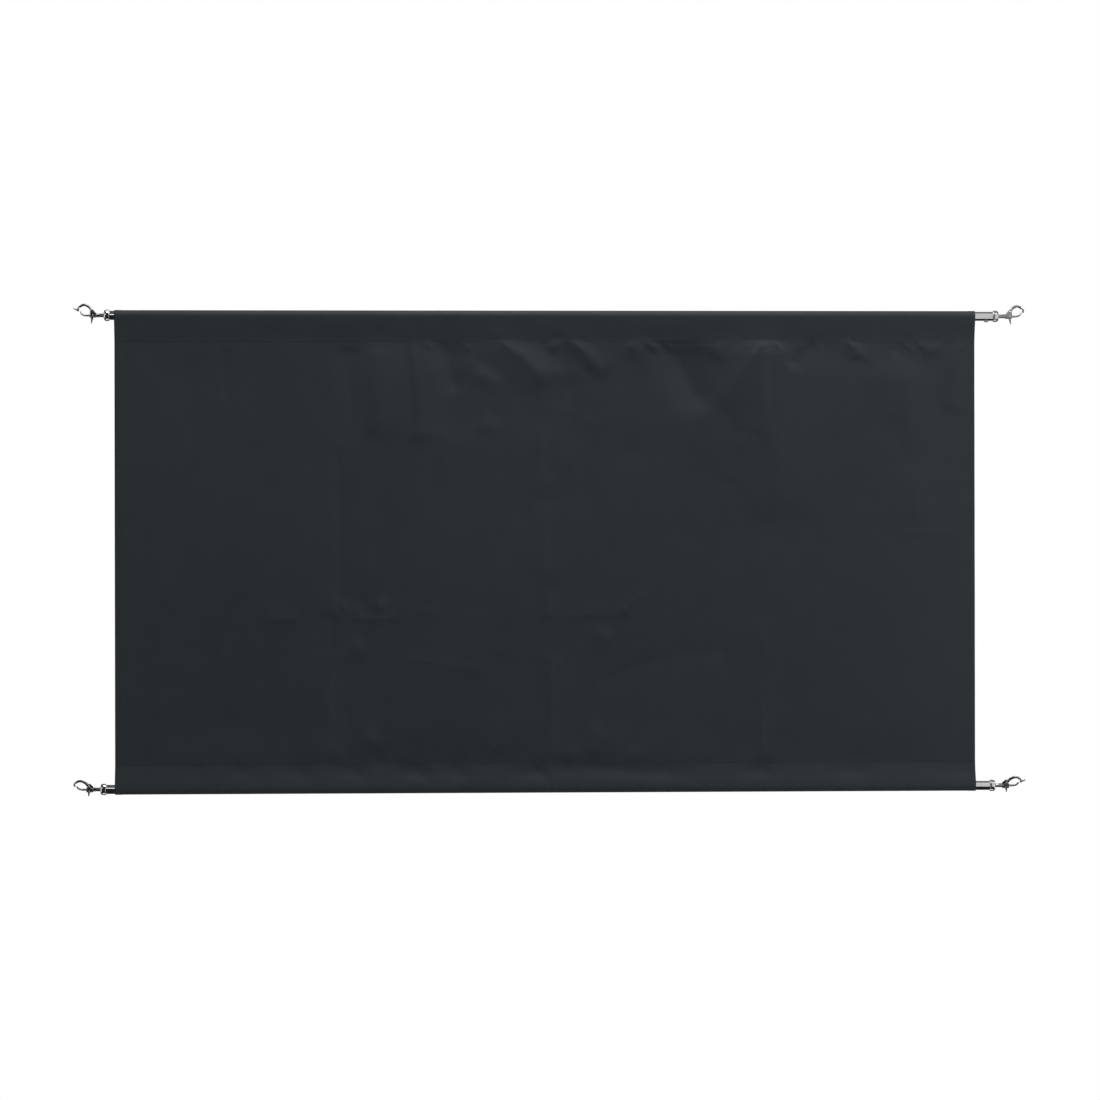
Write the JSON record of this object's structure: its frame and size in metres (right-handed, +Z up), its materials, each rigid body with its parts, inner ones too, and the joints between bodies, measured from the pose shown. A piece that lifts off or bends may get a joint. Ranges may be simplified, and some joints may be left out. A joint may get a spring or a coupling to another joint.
{
  "type": "cafe barrier",
  "caption": "Hanging cafe barrier: a plain dark canvas panel sleeved over slim steel poles, with a sprung swivel snap hook on each pole end.",
  "frame": {"origin": "on the axis of the top pole, halfway along it", "axes": "+X along the poles, -Y the front of the canvas, +Z up"},
  "size_m": [1.4309, 0.0219, 0.7372],
  "materials": {
    "canvas": "plain woven coated canvas, near black with a slight sheen",
    "thread": "black sewing thread",
    "pole": "satin chromed steel tube",
    "chrome": "bright chrome plate",
    "spring": "drawn spring wire"
  },
  "bodies": {
    "top_pole": {"top_pole_tube": "pole", "ferrule_top_left": "chrome", "ferrule_top_right": "chrome", "rivet_top_left": "chrome", "rivet_top_right": "chrome"},
    "canvas": {"canvas_panel": "canvas", "seam_thread_top": "thread", "seam_thread_bottom": "thread", "hem_thread_left": "thread", "hem_thread_right": "thread"},
    "bottom_pole": {"bottom_pole_tube": "pole", "ferrule_bottom_left": "chrome", "ferrule_bottom_right": "chrome", "rivet_bottom_left": "chrome", "rivet_bottom_right": "chrome"},
    "top_left_hook": {"swivel_pin_top_left": "chrome", "hook_top_left": "chrome", "gate_pin_top_left": "chrome"},
    "top_left_gate": {"gate_top_left": "chrome", "gate_spring_top_left": "spring"},
    "top_right_hook": {"swivel_pin_top_right": "chrome", "hook_top_right": "chrome", "gate_pin_top_right": "chrome"},
    "top_right_gate": {"gate_top_right": "chrome", "gate_spring_top_right": "spring"},
    "bottom_left_hook": {"swivel_pin_bottom_left": "chrome", "hook_bottom_left": "chrome", "gate_pin_bottom_left": "chrome"},
    "bottom_left_gate": {"gate_bottom_left": "chrome", "gate_spring_bottom_left": "spring"},
    "bottom_right_hook": {"swivel_pin_bottom_right": "chrome", "hook_bottom_right": "chrome", "gate_pin_bottom_right": "chrome"},
    "bottom_right_gate": {"gate_bottom_right": "chrome", "gate_spring_bottom_right": "spring"}
  },
  "joints": [
    {"name": "canvas_slide", "type": "slide", "parent": "top_pole", "child": "canvas", "axis": [1, 0, 0], "range_m": [-0.007, 0.0274]},
    {"name": "bottom_pole_slide", "type": "slide", "parent": "canvas", "child": "bottom_pole", "axis": [1, 0, 0], "range_m": [-0.0213, 0.0131]},
    {"name": "swivel_top_left", "type": "hinge", "parent": "top_pole", "child": "top_left_hook", "pos_m": [-0.6756, 0, 0], "axis": [1, 0, 0], "continuous": true},
    {"name": "gate_turn_top_left", "type": "hinge", "parent": "top_left_hook", "child": "top_left_gate", "pos_m": [-0.6886, 0, 0], "axis": [0, 0.9962, -0.0872], "range_deg": [0, 22], "stiffness_Nm_per_rad": 0.02, "springref_deg": -34.38},
    {"name": "swivel_top_right", "type": "hinge", "parent": "top_pole", "child": "top_right_hook", "pos_m": [0.6756, 0, 0], "axis": [1, 0, 0], "continuous": true},
    {"name": "gate_turn_top_right", "type": "hinge", "parent": "top_right_hook", "child": "top_right_gate", "pos_m": [0.6886, 0, 0], "axis": [0, -0.9703, 0.2419], "range_deg": [0, 22], "stiffness_Nm_per_rad": 0.02, "springref_deg": -34.38},
    {"name": "swivel_bottom_left", "type": "hinge", "parent": "bottom_pole", "child": "bottom_left_hook", "pos_m": [-0.6817, 0, -0.7085], "axis": [1, 0, 0], "continuous": true},
    {"name": "gate_turn_bottom_left", "type": "hinge", "parent": "bottom_left_hook", "child": "bottom_left_gate", "pos_m": [-0.6947, 0, -0.7085], "axis": [0, 0.829, 0.5592], "range_deg": [0, 22], "stiffness_Nm_per_rad": 0.02, "springref_deg": -34.38},
    {"name": "swivel_bottom_right", "type": "hinge", "parent": "bottom_pole", "child": "bottom_right_hook", "pos_m": [0.6695, 0, -0.7085], "axis": [1, 0, 0], "continuous": true},
    {"name": "gate_turn_bottom_right", "type": "hinge", "parent": "bottom_right_hook", "child": "bottom_right_gate", "pos_m": [0.6825, 0, -0.7085], "axis": [0, -0.809, -0.5878], "range_deg": [0, 22], "stiffness_Nm_per_rad": 0.02, "springref_deg": -34.38}
  ]
}
